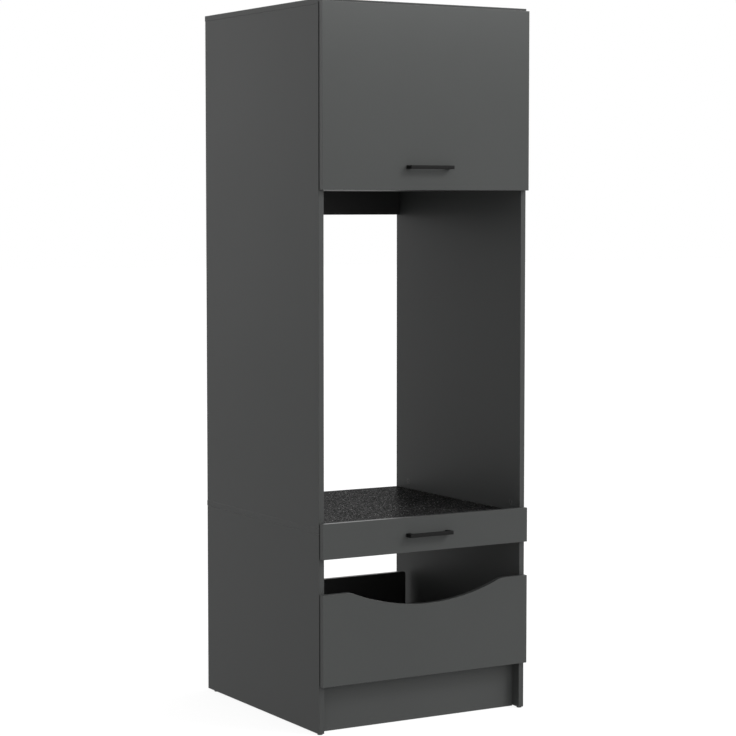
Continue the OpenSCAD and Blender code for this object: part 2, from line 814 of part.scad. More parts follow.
module flap_handle_screws() color(steel) in_cabinet()
    handle_screw_places(compartment_z + flap_handle_up) handle_screw();

module pullout_handle_screws() color(steel) in_cabinet() handle_screw_places(fascia_mid) handle_screw();

buffer_d = 9;
buffer_in = 30;

module buffers(z) both_sides() translate([side_mid_x, 0, z])
    along_y(front_back_y, -run_fit) circle(d = buffer_d);

module flap_buffers() color(clear_pad) in_cabinet() buffers(compartment_z + buffer_in);

module fascia_buffers() color(clear_pad) in_cabinet() buffers(fascia_mid);

module drawer_buffers() color(clear_pad) in_cabinet()
    buffers(drawer_front_low + drawer_front_h - buffer_in);

// Gas struts. Local Y runs from the fixed pivot to the moving one
module strut_frames() both_sides()
    translate([strut_x, strut_side_y, strut_side_z]) rotate([strut_angle, 0, 0]) children();

module strut_round(from, to, d) translate([0, from, 0]) rotate([-90, 0, 0]) cylinder(d = d, h = to - from);

module strut_tubes() color(black) in_cabinet() strut_frames() difference() {
    bore_d = strut_tube_d - 2 * tube_wall;
    union() {
        pin_x(-eye_w / 2, eye_w / 2, eye_d, 0, 0);
        strut_round(0, tube_start + 1, neck_d);
        strut_round(tube_start, tube_end, strut_tube_d);
    }
    pin_x(-eye_w, eye_w, stud_d + 2 * pin_fit, 0, 0);
    strut_round(tube_wall_end, tube_end - gland_len, bore_d);
    strut_round(tube_wall_end, tube_end + 1, strut_rod_d + 2 * pin_fit);
}

module strut_rods() color(steel) in_cabinet() strut_frames() {
    strut_round(piston_z, strut_len - rod_neck + 1, strut_rod_d);
    strut_round(piston_z, piston_z + piston_h, strut_tube_d - 2 * tube_wall - 2 * run_fit);
    strut_round(strut_len - rod_neck, strut_len, neck_d);
    pin_x(-eye_w / 2, eye_w / 2, eye_d, strut_len, 0);
}

module strut_side_brackets() color(zinc) in_cabinet() both_sides() difference() {
    union() {
        translate([0, strut_side_y, strut_side_z]) along_x(inner_x - bracket_t, inner_x)
            rounded([-bracket_w / 2, -bracket_h / 2], [bracket_w / 2, bracket_h / 2], 3);
        pin_x(strut_x + eye_w / 2 + run_fit, inner_x - 1, stud_collar_d, strut_side_y, strut_side_z);
        pin_x(stud_end_x - stud_head_t, inner_x - 1, stud_d, strut_side_y, strut_side_z);
        pin_x(stud_end_x - stud_head_t, stud_end_x, stud_head_d, strut_side_y, strut_side_z);
    }
    strut_side_places() wood_hole();
}

module strut_side_screws() color(steel) in_cabinet() strut_side_places() wood_screw();

module strut_flap_brackets() color(zinc) in_cabinet() both_sides() difference() {
    union() {
        translate([flap_web_x - bracket_w / 2, 0, strut_flap_z])
            along_y(front_back_y, front_back_y + bracket_t)
            rounded([-bracket_w / 2, -bracket_h / 2], [bracket_w / 2 + bracket_t, bracket_h / 2], 1.5);
        box([flap_web_x, front_back_y, strut_flap_z - web_d / 2],
            [flap_web_x + bracket_t, strut_flap_y, strut_flap_z + web_d / 2]);
        pin_x(flap_web_x, flap_web_x + bracket_t, web_d, strut_flap_y, strut_flap_z);
        pin_x(flap_web_x, stud_end_x, stud_d, strut_flap_y, strut_flap_z);
    }
    strut_flap_places() wood_hole();
}

module strut_flap_screws() color(steel) in_cabinet() strut_flap_places() wood_screw();

// Telescopic runners of the pull-out board
module runner_member(web_in, web_out, flange_in, flange_out, h)
    translate([0, 0, pull_z]) along_y(runner_front_y, runner_end_y) {
        rect([web_in, -h / 2], [web_out, h / 2]);
        rect([flange_in, h / 2 - steel_t], [flange_out, h / 2]);
        rect([flange_in, -h / 2], [flange_out, steel_t - h / 2]);
    }

module pullout_runner_outer() color(steel) in_cabinet() both_sides() difference() {
    runner_member(inner_x - steel_t, inner_x, outer_in_x, inner_x, pull_runner_h);
    runner_screw_places() flat_hole();
}

module pullout_runner_middle() color(steel) in_cabinet() both_sides()
    runner_member(middle_out_x - steel_t, middle_out_x, middle_in_x, middle_out_x, middle_h);

module pullout_runner_inner() color(steel) in_cabinet() both_sides() difference() {
    runner_member(slide_x, slide_x + steel_t, slide_x, inner_out_x, inner_h);
    slide_screw_places() flat_hole();
}

// A strip with its balls, at one height above or below the middle of the runner
module ball_cage(x, y, z) translate([x, y, pull_z + z]) {
    box([-cage_w / 2, 0, -cage_t / 2], [cage_w / 2, cage_len, cage_t / 2]);
    for (i = [0 : ball_count - 1])
        translate([0, cage_end + i * (cage_len - 2 * cage_end) / (ball_count - 1), 0])
            sphere(d = ball_d, $fn = 16);
}

module pullout_ball_cages() color(zinc) in_cabinet() both_sides() for (up = [-1, 1]) {
    ball_cage(outer_cage_x, outer_cage_y, up * (middle_h + stage_gap) / 2);
    ball_cage(inner_cage_x, inner_cage_y, up * (inner_h + stage_gap) / 2);
}

module pullout_board() color(graphite) in_cabinet() difference() {
    box([-slide_x, front_back_y, pull_board_low], [slide_x, runner_end_y, pull_board_low + board_t]);
    slide_screw_places() wood_hole();
    angle_screw_places() wood_hole();
}

module pullout_fascia() color(graphite) in_cabinet() difference() {
    box([-front_w / 2, front_face_y, fascia_low], [front_w / 2, front_back_y, fascia_top]);
    angle_screw_places() wood_hole();
    handle_screw_places(fascia_mid) screw_hole(handle_screw_d, handle_screw_len);
}

module fascia_angles() color(zinc) in_cabinet() both_sides() difference() {
    along_x(angle_x - angle_w / 2, angle_x + angle_w / 2) {
        rect([front_back_y, pull_board_low - angle_t], [front_back_y + angle_deep, pull_board_low]);
        rect([front_back_y, pull_board_low - angle_drop], [front_back_y + angle_t, pull_board_low]);
    }
    angle_screw_places() wood_hole();
}

module pullout_screws() color(steel) in_cabinet() {
    angle_screw_places() wood_screw();
    slide_screw_places() flat_screw();
}

module runner_screws() color(steel) in_cabinet() {
    runner_screw_places() flat_screw();
    channel_screw_places() flat_screw();
}

// Roller runners and body of the laundry drawer
module drawer_channels() color(steel) in_cabinet() both_sides() difference() {
    axle_end = front_roller_x - run_fit;
    union() {
        along_y(runner_front_y, channel_end) {
            rect([inner_x - steel_t, channel_low], [inner_x, channel_top]);
            rect([slide_x + steel_t + channel_lip_gap, channel_low], [inner_x, channel_low + steel_t]);
        }
        along_y(front_roller_y + roller_d / 2 + roller_room, channel_end)
            rect([inner_x - channel_flange_w, channel_top - steel_t], [inner_x, channel_top]);
        pin_x(axle_end, inner_x - 1, axle_d, front_roller_y, front_roller_z);
        pin_x(axle_end - axle_head_t, axle_end, axle_head_d, front_roller_y, front_roller_z);
    }
    channel_screw_places() flat_hole();
}

module roller(from, y, z) difference() {
    union() {
        pin_x(from, from + roller_w, roller_d - 1, y, z);
        pin_x(from + 1, from + roller_w - 1, roller_d, y, z);
    }
    pin_x(from - 1, from + roller_w + 1, axle_d + 2 * pin_fit, y, z);
}

module drawer_front_rollers() color(nylon) in_cabinet() both_sides()
    roller(front_roller_x, front_roller_y, front_roller_z);

module drawer_rear_rollers() color(nylon) in_cabinet() both_sides()
    roller(rear_roller_x, rear_roller_y, rear_roller_z);

module drawer_side() difference() {
    union() {
        along_y(front_back_y, drawer_end_y + steel_t) {
            rect([slide_x, drawer_low], [slide_x + steel_t, drawer_low + drawer_side_h]);
            rect([slide_x + steel_t - hem_w, drawer_low + drawer_side_h - steel_t],
                [slide_x + steel_t, drawer_low + drawer_side_h]);
            rect([slide_x, flange_z], [inner_x - flange_side_gap, flange_z + steel_t]);
        }
        along_y(0, drawer_end_y) rect([slide_x - tab_w, drawer_low], [slide_x + 1, drawer_low + steel_t]);
        for (y = [front_back_y, drawer_end_y])
            box([slide_x - tab_w, y, tab_low], [slide_x + 1, y + steel_t, tab_high]);
        pin_x(slide_x + 1, rear_axle_end, axle_d, rear_roller_y, rear_roller_z);
        pin_x(rear_axle_end, rear_axle_end + axle_head_t, axle_head_d, rear_roller_y, rear_roller_z);
    }
    drawer_screw_places() wood_hole();
}

module drawer_side_right() color(black) in_cabinet() drawer_side();

module drawer_side_left() color(black) in_cabinet() mirror([1, 0, 0]) drawer_side();

module drawer_bottom() color(black) in_cabinet() difference() {
    box([-slide_x, front_back_y, drawer_board_low], [slide_x, drawer_end_y, drawer_board_top]);
    drawer_screw_places() wood_hole();
}

module drawer_back() color(black) in_cabinet() difference() {
    half = slide_x - drawer_back_end;
    top = drawer_board_top + drawer_back_h;
    along_y(drawer_end_y - board_t, drawer_end_y) {
        rounded([-half, drawer_board_top], [half, top], drawer_back_r);
        rect([-half, drawer_board_top], [half, top - drawer_back_r]);
    }
    drawer_screw_places() wood_hole();
}

// Dip in the upper edge: one large arc that runs into a round shoulder at each end
dip_turn = 2 * atan(dip_depth / dip_half_w);
dip_r = dip_half_w / sin(dip_turn) - shoulder_r;
dip_meet = dip_r * (1 - cos(dip_turn)) - dip_depth;
arc_overlap = 0.03;

module dip_cut() difference() {
    union() {
        rect([-dip_half_w, dip_meet], [dip_half_w, 1]);
        translate([0, dip_r - dip_depth]) circle(r = dip_r, $fn = 720);
    }
    for (x = [-dip_half_w, dip_half_w])
        translate([x, -shoulder_r]) circle(r = shoulder_r + arc_overlap, $fn = 180);
}

module drawer_front() color(graphite) in_cabinet() difference() {
    box([-front_w / 2, front_face_y, drawer_front_low],
        [front_w / 2, front_back_y, drawer_front_low + drawer_front_h]);
    translate([0, 0, drawer_front_low + drawer_front_h])
        along_y(front_face_y - 1, front_back_y + 1) dip_cut();
    drawer_screw_places() wood_hole();
}

module drawer_screws() color(steel) in_cabinet() drawer_screw_places() wood_screw();

top_board();
upper_side_left();
upper_side_right();
platform_board();
lower_side_left();
lower_side_right();
compartment_floor();
compartment_back();
compartment_shelf();
shelf_pins();
rear_rail();
base_rail();
base_floor();
plinth_panel();
glides();
cam_discs();
cam_bolts();
dowels();
wall_brackets();
wall_bracket_screws();
hinge_arms();
hinge_plates();
hinge_plate_screws();
strut_side_brackets();
strut_side_screws();
pullout_runner_outer();
drawer_channels();
runner_screws();
drawer_front_rollers();
flap_front();
hinge_cups();
hinge_pins();
hinge_cup_screws();
strut_flap_brackets();
strut_flap_screws();
flap_handle();
flap_handle_screws();
flap_buffers();
strut_tubes();
strut_rods();
pullout_runner_middle();
pullout_ball_cages();
pullout_runner_inner();
pullout_fascia();
pullout_board();
pullout_handle();
pullout_handle_screws();
fascia_angles();
pullout_screws();
fascia_buffers();
drawer_front();
drawer_side_left();
drawer_side_right();
drawer_bottom();
drawer_back();
drawer_screws();
drawer_rear_rollers();
drawer_buffers();
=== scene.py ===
import json
import math

import bmesh
import bpy
import numpy as np
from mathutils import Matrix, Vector

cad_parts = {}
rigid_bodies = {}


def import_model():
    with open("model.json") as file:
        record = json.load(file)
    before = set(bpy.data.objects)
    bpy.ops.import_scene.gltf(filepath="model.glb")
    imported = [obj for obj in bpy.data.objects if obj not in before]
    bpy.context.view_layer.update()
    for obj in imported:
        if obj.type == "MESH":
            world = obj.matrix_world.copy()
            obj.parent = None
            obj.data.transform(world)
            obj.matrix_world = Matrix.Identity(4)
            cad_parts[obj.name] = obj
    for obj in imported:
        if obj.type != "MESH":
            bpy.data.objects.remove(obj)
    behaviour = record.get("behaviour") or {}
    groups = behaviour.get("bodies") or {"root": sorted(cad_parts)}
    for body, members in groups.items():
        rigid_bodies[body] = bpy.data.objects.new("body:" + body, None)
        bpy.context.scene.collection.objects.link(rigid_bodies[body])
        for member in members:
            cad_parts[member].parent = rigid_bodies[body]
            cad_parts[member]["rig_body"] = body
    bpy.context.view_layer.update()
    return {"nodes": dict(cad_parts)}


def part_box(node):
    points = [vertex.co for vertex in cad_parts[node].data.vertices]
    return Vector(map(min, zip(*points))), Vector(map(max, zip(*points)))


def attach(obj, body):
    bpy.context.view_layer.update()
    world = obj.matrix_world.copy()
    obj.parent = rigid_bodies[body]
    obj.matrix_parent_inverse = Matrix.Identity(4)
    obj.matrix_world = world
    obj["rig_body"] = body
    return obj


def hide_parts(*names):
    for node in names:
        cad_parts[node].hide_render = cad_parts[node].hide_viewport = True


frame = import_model()
scene = bpy.context.scene
MM = 0.001


# Node trees: sums on sockets, and one method for every other node
class Number:
    """An output socket that takes part in sums. Each operator adds one Math node."""

    def __init__(self, nodes, socket):
        self.nodes, self.socket = nodes, socket

    def math(self, operation, *values):
        return self.nodes.add("ShaderNodeMath", {"operation": operation}, dict(enumerate(values)))

    def __add__(self, other):
        return self.math("ADD", self, other)

    def __sub__(self, other):
        return self.math("SUBTRACT", self, other)

    def __rsub__(self, other):
        return self.math("SUBTRACT", other, self)

    def __mul__(self, other):
        return self.math("MULTIPLY", self, other)

    def __truediv__(self, other):
        return self.math("DIVIDE", self, other)

    def __neg__(self):
        return self.math("MULTIPLY", self, -1.0)

    def __gt__(self, other):
        return self.math("GREATER_THAN", self, other)

    def __pow__(self, other):
        return self.math("POWER", self, other)

    __radd__, __rmul__ = __add__, __mul__


class Nodes:
    """A shader or geometry tree, to which nodes are added with their settings and inputs. Two settings are a
    list or a count: the stops of a colour ramp, and the choices of an index switch."""

    def __init__(self, tree):
        self.tree = tree

    def add(self, kind, settings=None, inputs=None, out=0):
        node = self.tree.nodes.new(kind)
        for name, value in (settings or {}).items():
            if name == "stops":
                for stop, (place, colour) in zip(self.ramp_stops(node, len(value)), value):
                    stop.position, stop.color = place, colour
            elif name == "choices":
                for _ in range(value - len(node.index_switch_items)):
                    node.index_switch_items.new()
            else:
                setattr(node, name, value)
        for name, value in (inputs or {}).items():
            self.put(node.inputs[name], value)
        return Number(self, node.outputs[out]) if node.outputs else None

    @staticmethod
    def ramp_stops(node, count):
        stops = node.color_ramp.elements
        while len(stops) < count:
            stops.new(1.0)
        return stops

    def put(self, socket, value):
        if isinstance(value, Number):
            self.tree.links.new(value.socket, socket)
        else:
            socket.default_value = value


def paint(red, green, blue):
    return (red, green, blue, 1.0)


def grey(level):
    return paint(level, level, level)


def graphite_tone(level):
    """The faintly green grey of the cabinet's decor."""
    return paint(level * 0.975, level * 1.012, level * 0.995)


def scaled(colour, factor):
    return paint(*(factor * part for part in colour[:3]))


class Finish(Nodes):
    """A material whose patterns are laid out in the cabinet's own metres."""

    def __init__(self, name, **constants):
        self.material = bpy.data.materials.new(name)
        self.material.use_nodes = True
        super().__init__(self.material.node_tree)
        self.surface = self.tree.nodes["Principled BSDF"]
        self.place = self.add("ShaderNodeTexCoord", out="Object")
        for socket, value in constants.items():
            self.put(self.surface.inputs[socket.replace("_", " ")], value)

    def stretched(self, scale):
        """The place, with each axis scaled: a pattern on it grows longer along an axis with a small scale."""
        return self.add("ShaderNodeMapping", {"vector_type": "POINT"}, {"Vector": self.place, "Scale": scale})

    def noise(self, per_metre, detail=2.0, rough=0.5, at=None):
        values = {"Vector": at or self.place, "Scale": per_metre, "Detail": detail, "Roughness": rough}
        return self.add("ShaderNodeTexNoise", {}, values)

    def cells(self, per_metre, out="Color", at=None):
        values = {"Vector": at or self.place, "Scale": per_metre}
        return self.add("ShaderNodeTexVoronoi", {"feature": "F1"}, values, out)

    def one_of(self, colour):
        """The first channel of a colour, as a number."""
        return self.add("ShaderNodeSeparateColor", {}, {"Color": colour})

    def ramp(self, factor, *stops):
        return self.add("ShaderNodeValToRGB", {"stops": stops}, {"Fac": factor})

    def mixed(self, factor, first, second):
        """The first colour, or the second where the factor is 1."""
        return self.add("ShaderNodeMix", {"data_type": "RGBA"}, {0: factor, 6: first, 7: second}, out=2)

    def finish(self, colour, roughness, height=None, relief=0.1, depth=0.1 * MM):
        self.put(self.surface.inputs["Base Color"], colour)
        self.put(self.surface.inputs["Roughness"], roughness)
        if height is not None:
            bump = self.add("ShaderNodeBump", {}, {"Height": height, "Strength": relief, "Distance": depth})
            self.put(self.surface.inputs["Normal"], bump)
        return self.material


# Finishes. A pattern's first number is how many of its features fit in a metre, and a level is the share of
# light that a colour gives back.
MELAMINE_PEARL = 900.0


def graphite_melamine(name, level, rough, sheen=0.0, film=0.0):
    """Matt graphite decor paper under melamine: a fine pearl structure with a very faint cloudiness. The sheen
    is the board's own, and the film is a clear layer that stays dull at a flat angle."""
    f = Finish(name, IOR=1.5, Specular_IOR_Level=sheen, Coat_Weight=film, Coat_Roughness=rough)
    pearl = f.noise(MELAMINE_PEARL, 2.0, 0.6)
    cloud = f.noise(2.2, 3.0, 0.55)
    flecks = f.noise(260.0, 1.0, 0.5)
    shade = 0.42 * pearl + 0.33 * cloud + 0.25 * flecks
    colour = f.ramp(shade, (0.30, graphite_tone(level * 0.91)), (0.70, graphite_tone(level * 1.09)))
    dullness = rough + 0.10 * (cloud - 0.5) + 0.06 * (pearl - 0.5)
    return f.finish(colour, dullness, pearl + 0.4 * flecks, relief=0.12, depth=0.12 * MM)


def graphite_edge_band(name, level):
    """Plastic edge band in the colour of the decor, a little smoother and drawn along its length."""
    f = Finish(name, IOR=1.5, Specular_IOR_Level=0.12)
    drawn = f.noise(300.0, 2.0, 0.5, f.stretched((1.0, 1.0, 0.05)))
    grain = f.noise(1400.0, 1.0)
    colour = f.ramp(drawn, (0.3, graphite_tone(level * 0.93)), (0.7, graphite_tone(level * 1.07)))
    return f.finish(colour, 0.38 + 0.08 * (drawn - 0.5), grain, relief=0.06, depth=0.1 * MM)


def black_melamine():
    """Black decor of the same structure as the graphite one."""
    f = Finish("black_melamine", IOR=1.5, Specular_IOR_Level=0.25)
    pearl = f.noise(MELAMINE_PEARL, 2.0, 0.6)
    cloud = f.noise(2.5, 3.0)
    colour = f.ramp(0.6 * pearl + 0.4 * cloud, (0.3, grey(0.0065)), (0.7, grey(0.0095)))
    return f.finish(colour, 0.5 + 0.08 * (cloud - 0.5), pearl, relief=0.1, depth=0.1 * MM)


def chipboard_core():
    """Raw chipboard: short flakes of several browns, pressed at random, with dark gaps between them."""
    f = Finish("chipboard_core", IOR=1.45)
    laid = f.stretched((1.0, 0.32, 1.0))
    flakes = f.one_of(f.cells(420.0, "Color", laid))
    chips = f.one_of(f.cells(700.0, "Color", f.stretched((0.4, 1.0, 1.0))))
    dust = f.noise(1500.0, 3.0, 0.7)
    gaps = f.cells(420.0, "Distance", laid)
    tone = 0.45 * flakes + 0.3 * chips + 0.25 * dust
    colour = f.ramp(tone, (0.1, paint(0.12, 0.075, 0.038)), (0.45, paint(0.30, 0.20, 0.11)),
                    (0.75, paint(0.44, 0.32, 0.19)), (1.0, paint(0.55, 0.43, 0.28)))
    return f.finish(colour, 0.82 + 0.1 * (dust - 0.5), tone - 0.6 * gaps, relief=0.5, depth=0.4 * MM)


def granite_laminate():
    """Dark granite decor: a black ground with grains from one millimetre to four. The larger grains are shinier
    than the ground, and a few of the middle ones are nearly white."""
    coarse_from, middle_from, fine_from = 0.74, 0.84, 0.94
    f = Finish("granite_laminate", IOR=1.5, Specular_IOR_Level=0.0, Coat_Roughness=0.32)
    drift = f.noise(140.0, 2.0)
    coarse = f.one_of(f.cells(240.0))
    middle = f.one_of(f.cells(420.0))
    fine = f.one_of(f.cells(1000.0))
    ground = f.ramp(drift, (0.35, grey(0.002)), (0.65, grey(0.005)))
    dark = f.ramp(coarse, (coarse_from, grey(0.004)), (1.0, grey(0.019)))
    light = f.ramp(middle, (middle_from, grey(0.008)), (0.98, grey(0.036)), (1.0, grey(0.38)))
    pale = f.ramp(fine, (fine_from, grey(0.03)), (1.0, grey(0.11)))
    with_dark = f.mixed(coarse > coarse_from, ground, dark)
    with_light = f.mixed(middle > middle_from, with_dark, light)
    with_pale = f.mixed(fine > fine_from, with_light, pale)
    polish = 0.045 + 0.06 * (coarse > coarse_from) + 0.14 * (middle > middle_from)
    f.put(f.surface.inputs["Coat Weight"], polish)
    pearl = f.noise(800.0, 2.0)
    rough = 0.40 + 0.14 * (drift - 0.5) + 0.08 * (coarse - 0.5)
    return f.finish(with_pale, rough, pearl + 0.3 * coarse, relief=0.15, depth=0.15 * MM)


def raw_hardboard():
    """The unpainted side of hardboard: brown felted fibres."""
    f = Finish("raw_hardboard", IOR=1.45)
    across = f.noise(520.0, 3.0, 0.6, f.stretched((1.0, 1.0, 0.16)))
    along = f.noise(520.0, 3.0, 0.6, f.stretched((0.16, 1.0, 1.0)))
    cloud = f.noise(9.0, 3.0)
    tone = 0.38 * across + 0.38 * along + 0.24 * cloud
    colour = f.ramp(tone, (0.34, paint(0.11, 0.062, 0.031)), (0.5, paint(0.19, 0.115, 0.06)),
                    (0.66, paint(0.27, 0.17, 0.095)))
    return f.finish(colour, 0.7 + 0.12 * (cloud - 0.5), across + along, relief=0.3, depth=0.2 * MM)


def painted_hardboard():
    """The painted side of hardboard: the faint orange peel of a roller."""
    f = Finish("painted_hardboard", IOR=1.5, Specular_IOR_Level=0.35)
    roll = f.noise(600.0, 2.0, 0.6)
    cloud = f.noise(4.0, 2.0)
    colour = f.ramp(0.5 * roll + 0.5 * cloud, (0.3, graphite_tone(0.025)), (0.7, graphite_tone(0.031)))
    return f.finish(colour, 0.5 + 0.08 * (cloud - 0.5), roll, relief=0.14, depth=0.1 * MM)


def plated(name, level, rough, tint=(1.0, 1.0, 1.0), brushed=(1.0, 1.0, 1.0), spread=0.10, relief=0.05):
    """Plated steel: a metal with faint drawn lines and cloudy patches in the plating."""
    f = Finish(name, Metallic=1.0)
    lines = f.noise(900.0, 2.0, 0.6, f.stretched(brushed))
    cloud = f.noise(70.0, 3.0, 0.55)
    base = scaled(tint, level)
    colour = f.ramp(0.55 * cloud + 0.45 * lines, (0.3, scaled(base, 0.86)), (0.7, scaled(base, 1.10)))
    dullness = rough + spread * (cloud - 0.5) + spread * (lines - 0.5)
    return f.finish(colour, dullness, lines, relief, depth=0.06 * MM)


def galvanised_sheet():
    """Zinc-coated strip steel: flat crystals of several greys, crossed by rolling lines."""
    f = Finish("galvanised_sheet", Metallic=1.0)
    crystals = f.one_of(f.cells(240.0))
    rolled = f.noise(1200.0, 2.0, 0.6, f.stretched((1.0, 0.02, 1.0)))
    tone = 0.6 * crystals + 0.4 * rolled
    colour = f.ramp(tone, (0.1, paint(0.43, 0.44, 0.46)), (0.9, paint(0.60, 0.61, 0.63)))
    dullness = 0.30 + 0.12 * crystals + 0.08 * (rolled - 0.5)
    return f.finish(colour, dullness, rolled, relief=0.06, depth=0.06 * MM)


def powder_coat(name, level, rough, grain=1100.0, relief=0.22, sheen=0.5):
    """Powder coating: a rounded fine relief over an even colour."""
    f = Finish(name, IOR=1.5, Specular_IOR_Level=sheen)
    peel = f.noise(grain, 1.5, 0.45)
    wide = f.noise(grain / 6, 2.0, 0.5)
    colour = f.ramp(0.6 * peel + 0.4 * wide, (0.3, grey(level * 0.85)), (0.7, grey(level * 1.2)))
    return f.finish(colour, rough + 0.1 * (wide - 0.5), peel, relief, depth=0.12 * MM)


def moulded_plastic(name, colour, rough, ior=1.5, **constants):
    """Moulded plastic: faint flow marks under a fine spark-eroded grain."""
    f = Finish(name, IOR=ior, **constants)
    flow = f.noise(55.0, 3.0, 0.5)
    spark = f.noise(1600.0, 1.0)
    body = f.ramp(flow, (0.35, scaled(colour, 0.93)), (0.65, scaled(colour, 1.05)))
    return f.finish(body, rough + 0.08 * (flow - 0.5), spark, relief=0.08, depth=0.08 * MM)


def beech_wood():
    """Beech of the dowels, with its grain along them."""
    f = Finish("beech_wood", IOR=1.45)
    grain = f.noise(420.0, 3.0, 0.6, f.stretched((0.08, 1.0, 1.0)))
    rays = f.cells(900.0, "Distance", f.stretched((0.25, 1.0, 1.0)))
    colour = f.ramp(grain, (0.3, paint(0.40, 0.25, 0.12)), (0.7, paint(0.62, 0.43, 0.24)))
    return f.finish(colour, 0.62 + 0.1 * (grain - 0.5), grain + 0.3 * rays, relief=0.25, depth=0.1 * MM)


def studio_floor_paint(glow):
    """Matt white floor, lit from within so that it reads as white as the backdrop."""
    f = Finish("studio_floor_paint", Specular_IOR_Level=0.0, Emission_Color=grey(1.0), Emission_Strength=glow)
    cloud = f.noise(0.7, 3.0)
    return f.finish(f.ramp(cloud, (0.3, grey(0.12)), (0.7, grey(0.13))), 0.85 + 0.05 * (cloud - 0.5))


graphite = graphite_melamine("graphite_melamine", level=0.030, rough=0.44, sheen=0.08)
graphite_top = graphite_melamine("graphite_top_melamine", level=0.030, rough=0.50, film=0.06)
# The fronts are the carcass's decor painted about an eighth lighter: painted light, standing in for the brighter
# light that falls on them.
graphite_front_painted_lighter = graphite_melamine("graphite_front_melamine_painted_lighter", level=0.034, rough=0.42, film=0.06)
edge_band = graphite_edge_band("graphite_edge_band", level=0.025)
black_board = black_melamine()
core = chipboard_core()
granite = granite_laminate()
hardboard_back = raw_hardboard()
hardboard_paint = painted_hardboard()
nickel = plated("nickel_plate", level=0.62, rough=0.24, tint=(1.0, 0.975, 0.94), brushed=(1.0, 0.1, 1.0))
zinc = plated("bright_zinc_plate", level=0.56, rough=0.33, tint=(0.98, 1.0, 1.03))
screw_zinc = plated("screw_zinc", level=0.60, rough=0.28, tint=(0.98, 1.0, 1.03), spread=0.08)
chrome = plated("hard_chrome", level=0.62, rough=0.10, tint=(1.0, 1.0, 1.02), spread=0.05, relief=0.02)
runner_steel = galvanised_sheet()
drawer_coat = powder_coat("drawer_powder_coat", level=0.018, rough=0.42)
handle_coat = powder_coat("handle_powder_coat", level=0.006, rough=0.50, grain=1500.0, relief=0.16, sheen=0.03)
tube_paint = powder_coat("strut_tube_paint", level=0.008, rough=0.26, grain=500.0, relief=0.05)
# The cam discs' graphite lacquer is painted lighter than the decor: painted light, so that the discs in the shade
# of their recesses read as light as the panel round them.
cam_lacquer_painted_lighter = powder_coat("cam_lacquer_painted_lighter", level=0.036, rough=0.50, grain=900.0, relief=0.12, sheen=0.16)
nylon = moulded_plastic("roller_nylon", (0.74, 0.74, 0.71), rough=0.38, Subsurface_Weight=0.15)
pad = moulded_plastic("clear_soft_pad", (0.62, 0.62, 0.60), rough=0.22, ior=1.45, Transmission_Weight=0.6)
glide_plastic = moulded_plastic("black_glide_plastic", (0.018, 0.018, 0.018), rough=0.45)
beech = beech_wood()


# Pieces from the solids
WELD = 0.002 * MM  # points closer than this are one
TOUCH = 0.02 * MM  # a face this near a side of the piece lies on it
FLAT = math.radians(0.4)  # triangles that meet at less make one face
BOARD_CORNER, PART_CORNER = 0.6, math.radians(35)  # edges that turn more are rounded
PART_CREASE, SCREW_CREASE = math.radians(30), math.radians(32)  # edges that turn more stay sharp in the shading


def joined(node):
    """A node's loose triangles joined into whole faces, as an edit mesh."""
    mesh = bmesh.new()
    mesh.from_mesh(frame["nodes"][node].data)
    bmesh.ops.remove_doubles(mesh, verts=mesh.verts, dist=WELD)
    bmesh.ops.dissolve_limit(mesh, angle_limit=FLAT, verts=mesh.verts, edges=mesh.edges)
    mesh.normal_update()
    return mesh


def dress(node, ending, edit_mesh, materials):
    """Puts a finished mesh in the place of a node, on the node's body, with the materials given."""
    mesh = bpy.data.meshes.new(f"{node}_{ending}")
    edit_mesh.to_mesh(mesh)
    edit_mesh.free()
    for material in materials:
        mesh.materials.append(material)
    piece = bpy.data.objects.new(mesh.name, mesh)
    scene.collection.objects.link(piece)
    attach(piece, frame["nodes"][node]["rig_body"])
    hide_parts(node)
    return piece


def sharp_edges(mesh, angle):
    """The edges at which two faces turn by more than the angle."""
    return [e for e in mesh.edges if len(e.link_faces) == 2 and e.calc_face_angle(0.0) > angle]


def ease(mesh, edges, width, segments, material=-1):
    """Rounds edges, with the new faces in the material given, or else in that of the faces beside them."""
    if edges:
        bmesh.ops.bevel(mesh, geom=edges, offset=width, segments=segments, profile=0.5, affect="EDGES",
                        clamp_overlap=True, material=material)


# A board's materials in their order, its sides as an axis and a direction, how far its edges are eased, and how
# high above its foot the curved upper edge begins
FACE, BAND, CORE, SPECIAL = range(4)
LEFT, RIGHT, REAR, TOP = (0, -1), (0, 1), (1, 1), (2, 1)
HAIRLINE, EASED, SOFT, SEAM = 0.2 * MM, 0.5 * MM, 0.6 * MM, 1.2 * MM
CURVE_FROM = 100 * MM


def banded_board(node, face, band=edge_band, inside=core, raw=(REAR,), special=(), curved=False, width=EASED):
    """A faced board: decor on its two wide faces, edge band on its eased edges, and chipboard in its holes
    and on the sides named raw. Special sides have a finish of their own, and a curved board has band on the
    curves of its upper edge too."""
    mesh = joined(node)
    low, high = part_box(node)
    thin = min(range(3), key=lambda k: high[k] - low[k])
    materials = [face, band, inside] + [finish for _, finish in special]
    for part in mesh.faces:
        normal = part.normal
        axis = max(range(3), key=lambda k: abs(normal[k]))
        way = 1 if normal[axis] > 0 else -1
        middle = part.calc_center_median()
        outer = abs(middle[axis] - (high if way > 0 else low)[axis]) < TOUCH and abs(normal[axis]) > 0.999
        through = [v.co[thin] for v in part.verts]
        whole = max(through) - min(through) > 0.99 * (high[thin] - low[thin])
        if curved and whole and abs(normal[thin]) < 0.01 and middle.z > low.z + CURVE_FROM:
            outer = True
        part.smooth = False
        if not outer or ((axis, way) in raw and axis != thin):
            part.material_index = CORE
        else:
            part.material_index = FACE if axis == thin else BAND
        for number, (side, _) in enumerate(special):
            if outer and side == (axis, way):
                part.material_index = SPECIAL + number
    corners = [edge for edge in sharp_edges(mesh, BOARD_CORNER)
               if all(side.material_index != CORE for side in edge.link_faces)]
    ease(mesh, corners, width, 2, BAND)
    return dress(node, "banded", mesh, materials)


